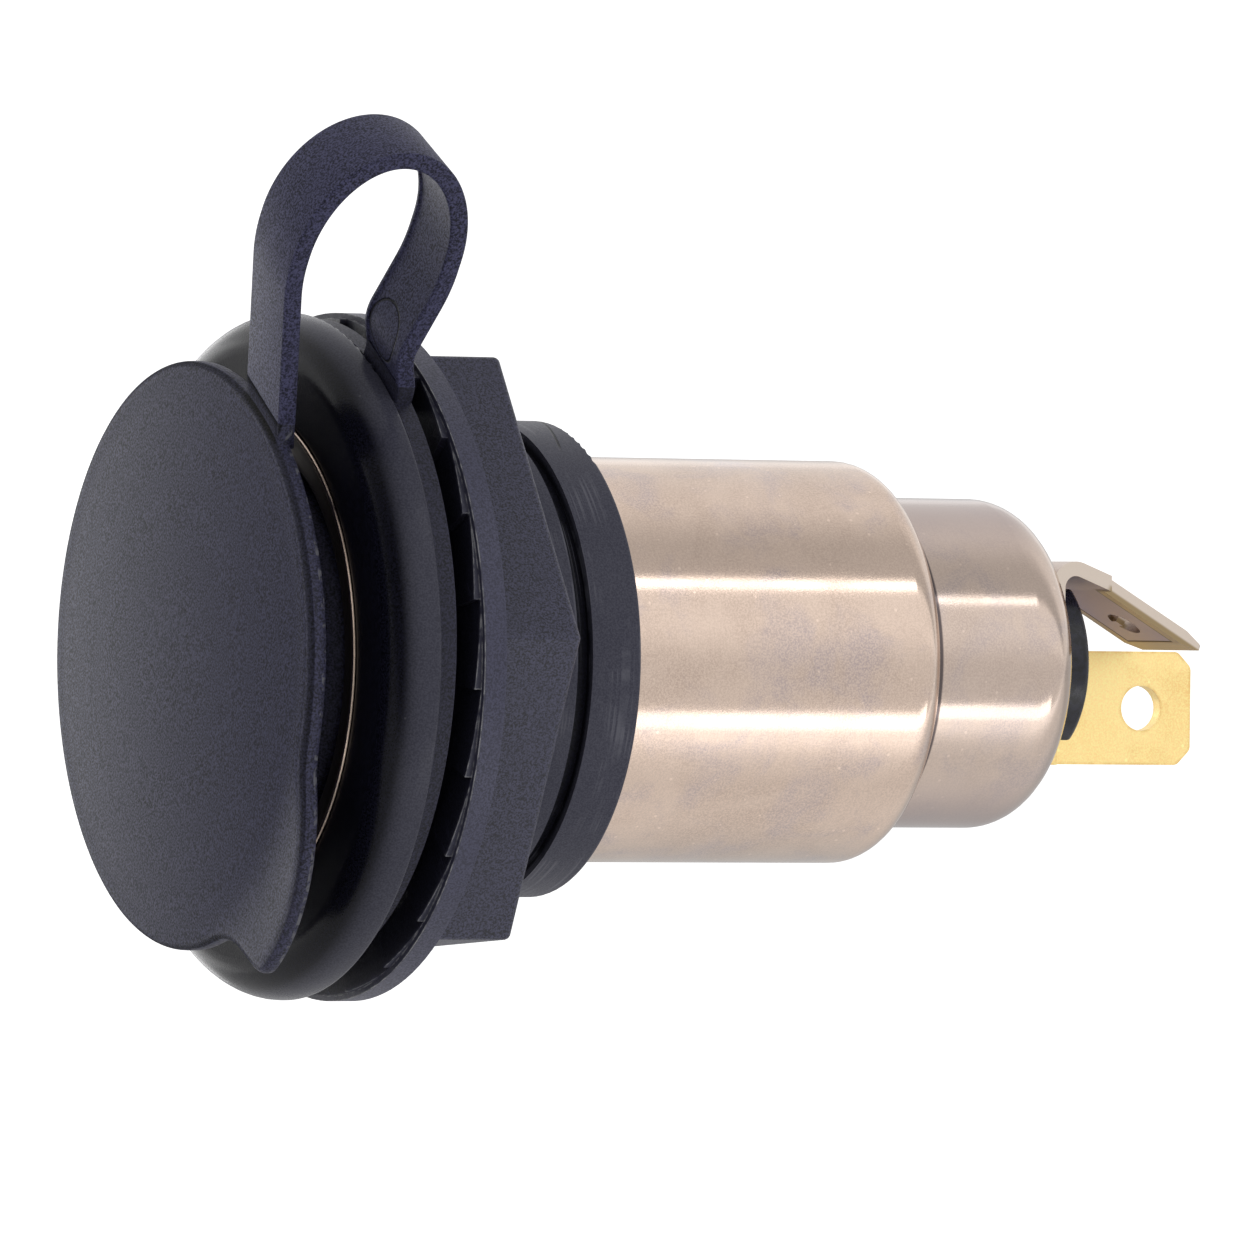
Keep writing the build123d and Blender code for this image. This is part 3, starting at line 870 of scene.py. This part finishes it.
class SOCKET_OT_dress_contacts(bpy.types.Operator):
    """Gives the terminals, the centre contact and the rivet their metals"""

    bl_idname = "socket.dress_contacts"
    bl_label = "Dress the contacts"

    def execute(self, context):
        colours = context.scene.socket_finishes
        dull, worn = (0.94, 0.64, 0.25), (0.88, 0.58, 0.23)
        finish = plated("Brass sheet", colours.brass, dull, worn, 0.42)
        edges = finish.effect(rubbed_and_highlit_edges(), Width=0.0004, Breaks=0.8)
        finish.tint(edges["Share"], (0.62, 0.34, 0.09), 0.7)
        brass = finish.done()
        nickel = folded_strip().done()
        dress("positive_terminal", brass)
        dress("centre_contact", brass)
        dress("contact_rivet", nickel)
        dress("ground_terminal", nickel)
        return {"FINISHED"}


class SOCKET_OT_dress_insulators(bpy.types.Operator):
    """Gives the insulators their plastic and fibre"""

    bl_idname = "socket.dress_insulators"
    bl_label = "Dress the insulators"

    def execute(self, context):
        glossy = moulded(
            "Insulator plastic", (0.007, 0.007, 0.013), grains=2600.0, depth=0.000003, roughness=0.33,
            edge_width=0.00012, edge_rub_and_highlight=0.25,
        )
        dress("rear_insulator", glossy.done())
        fibre = moulded(
            "Fibre washer", (0.20, 0.08, 0.05), grains=3000.0, depth=0.00001, roughness=0.62,
            edge_width=0.0001, edge_rub_and_highlight=0.2,
        )
        dress("inner_insulator", fibre.done())
        return {"FINISHED"}


def soft_light(name, aim, toward, distance, size, power, mirrored=True):
    """A soft box at a distance from the aim, in a direction given from it, seen in reflections or not."""
    light = bpy.data.lights.new(name, "AREA")
    light.shape = "RECTANGLE"
    light.size, light.size_y = size
    light.energy = power
    lamp = bpy.data.objects.new(name, light)
    direction = Vector(toward).normalized()
    along = Vector((1.0, 0.0, 0.0))
    along = (along - direction * along.dot(direction)).normalized()
    turn = Matrix((along, direction.cross(along), direction)).transposed()
    lamp.matrix_world = Matrix.Translation(aim + direction * distance) @ turn.to_4x4()
    lamp.visible_camera = False
    lamp.visible_glossy = mirrored
    bpy.context.scene.collection.objects.link(lamp)


def pale_floor(stage):
    """A plain white floor below the part: even to the camera, brighter towards it in reflections."""
    mesh = bpy.data.meshes.new("floor")
    reach = 6.0
    corners = [(x * reach, y * reach, stage.floor_z) for x, y in ((-1, -1), (1, -1), (1, 1), (-1, 1))]
    mesh.from_pydata(corners, [], [(0, 1, 2, 3)])
    floor = bpy.data.objects.new("floor", mesh)
    bpy.context.scene.collection.objects.link(floor)
    material = bpy.data.materials.new("Pale floor")
    material.use_nodes = True
    sheet = NodeSheet(material.node_tree)
    shader = material.node_tree.nodes["Principled BSDF"]
    shader.inputs["Base Color"].default_value = (0.8, 0.8, 0.8, 1.0)
    shader.inputs["Roughness"].default_value = 0.9
    shader.inputs["Emission Color"].default_value = (1.0, 1.0, 1.0, 1.0)
    ray = sheet.add("ShaderNodeLightPath")
    place = sheet.add("ShaderNodeTexCoord").outputs["Object"]
    depth = sheet.add("ShaderNodeSeparateXYZ", {"Vector": place}).outputs["Y"]
    far = sheet.band(depth, -2.0, -0.25, 0.82, 0.08)
    near = sheet.band(depth, -0.2, 0.2, 0.30, 0.0)
    behind = sheet.band(depth, 0.4, 1.6, 0.0, 0.6)
    bright = sheet.math("ADD", sheet.math("ADD", far, near), behind)
    seen = sheet.math("MULTIPLY", ray.outputs["Is Camera Ray"], 0.7)
    seen = sheet.math("MULTIPLY_ADD", ray.outputs["Is Glossy Ray"], bright, third=seen)
    sheet.join(seen, shader.inputs["Emission Strength"])
    mesh.materials.append(material)


def studio_walls():
    """A white world: even to the camera and as soft light, with pale and dim walls in reflections."""
    world = bpy.data.worlds.new("studio")
    world.use_nodes = True
    bpy.context.scene.world = world
    sheet = NodeSheet(world.node_tree)
    background = world.node_tree.nodes["Background"]
    background.inputs["Color"].default_value = (1.0, 1.0, 1.0, 1.0)
    ray = sheet.add("ShaderNodeLightPath")
    direction = sheet.add("ShaderNodeTexCoord").outputs["Generated"]
    parts = sheet.add("ShaderNodeSeparateXYZ", {"Vector": direction})
    angle = sheet.math("ARCTAN2", parts.outputs["Z"], parts.outputs["Y"])
    ceiling = sheet.band(angle, math.radians(42.0), math.radians(78.0), 1.02, 0.65)
    front = sheet.band(angle, math.radians(94.0), math.radians(102.0), 0.0, 0.52)
    viewer = sheet.band(angle, math.radians(122.0), math.radians(150.0), 0.0, -0.28)
    walls = sheet.math("ADD", sheet.math("ADD", ceiling, front), viewer)
    walls = sheet.math("MULTIPLY", walls, sheet.band(parts.outputs["X"], -0.97, -0.6, 0.12, 1.0))
    bounced = sheet.add("ShaderNodeMix", {0: ray.outputs["Is Glossy Ray"], 2: 0.6, 3: walls})
    strength = sheet.add("ShaderNodeMix", {0: ray.outputs["Is Camera Ray"], 2: bounced.outputs[0], 3: 1.0})
    sheet.join(strength.outputs[0], background.inputs["Strength"])


class SOCKET_OT_set_stage(bpy.types.Operator):
    """Sets the pale floor, the soft lights, the world and the camera"""

    bl_idname = "socket.set_stage"
    bl_label = "Set the stage"

    def execute(self, context):
        scene = context.scene
        stage = scene.socket_stage
        toward = Vector((0.0, -math.cos(stage.lift), math.sin(stage.lift)))
        rise = Vector((0.0, math.sin(stage.lift), math.cos(stage.lift)))
        along = Vector((1.0, 0.0, 0.0))
        back = toward * math.cos(stage.swing) - along * math.sin(stage.swing)
        level = along * math.cos(stage.swing) + toward * math.sin(stage.swing)
        right = level * math.cos(stage.roll) + rise * math.sin(stage.roll)
        up = rise * math.cos(stage.roll) - level * math.sin(stage.roll)
        aim = along * stage.aim_x + up * stage.aim_up
        camera = bpy.data.objects.new("camera", bpy.data.cameras.new("camera"))
        camera.data.lens = stage.lens
        camera.data.clip_start, camera.data.clip_end = 0.01, 20.0
        turn = Matrix((right, up, back)).transposed()
        camera.matrix_world = Matrix.Translation(aim + back * stage.distance) @ turn.to_4x4()
        scene.collection.objects.link(camera)
        scene.camera = camera
        pale_floor(stage)
        studio_walls()
        soft_light("overhead_box", aim, (0.30, -0.179, 0.937), distance=0.5, size=(0.24, 0.042), power=0.075)
        soft_light("front_box", aim, (0.46, -0.888, 0.02), distance=0.5, size=(0.5, 0.07), power=0.2)
        soft_light(
            "cap_box", aim, (-0.9, -0.3, 0.4), distance=0.6, size=(0.4, 0.4), power=0.10, mirrored=False
        )
        soft_light("left_box", aim, (-0.07, 0.817, -0.572), distance=0.4, size=(0.25, 0.25), power=0.35)
        scene.view_settings.view_transform = "Standard"
        return {"FINISHED"}


STEPS = (
    SOCKET_OT_dress_bezel,
    SOCKET_OT_dress_nut,
    SOCKET_OT_dress_can,
    SOCKET_OT_dress_cap,
    SOCKET_OT_make_strap,
    SOCKET_OT_dress_contacts,
    SOCKET_OT_dress_insulators,
    SOCKET_OT_set_stage,
)


class SOCKET_PT_maker(bpy.types.Panel):
    """Lists the steps that dress the socket"""

    bl_label = "Power socket"
    bl_idname = "SOCKET_PT_maker"
    bl_space_type = "VIEW_3D"
    bl_region_type = "UI"
    bl_category = "Socket"

    def draw(self, context):
        for step in STEPS:
            self.layout.operator(step.bl_idname)


CLASSES = (SocketFinishes, StrapSizes, StageSettings, *STEPS, SOCKET_PT_maker)


def register():
    for item in CLASSES:
        bpy.utils.register_class(item)
    bpy.types.Scene.socket_finishes = PointerProperty(type=SocketFinishes)
    bpy.types.Scene.strap_sizes = PointerProperty(type=StrapSizes)
    bpy.types.Scene.socket_stage = PointerProperty(type=StageSettings)


def unregister():
    del bpy.types.Scene.socket_stage
    del bpy.types.Scene.strap_sizes
    del bpy.types.Scene.socket_finishes
    for item in reversed(CLASSES):
        bpy.utils.unregister_class(item)


def main():
    register()
    for step in STEPS:
        group, name = step.bl_idname.split(".")
        getattr(getattr(bpy.ops, group), name)()


if __name__ == "__main__":
    main()
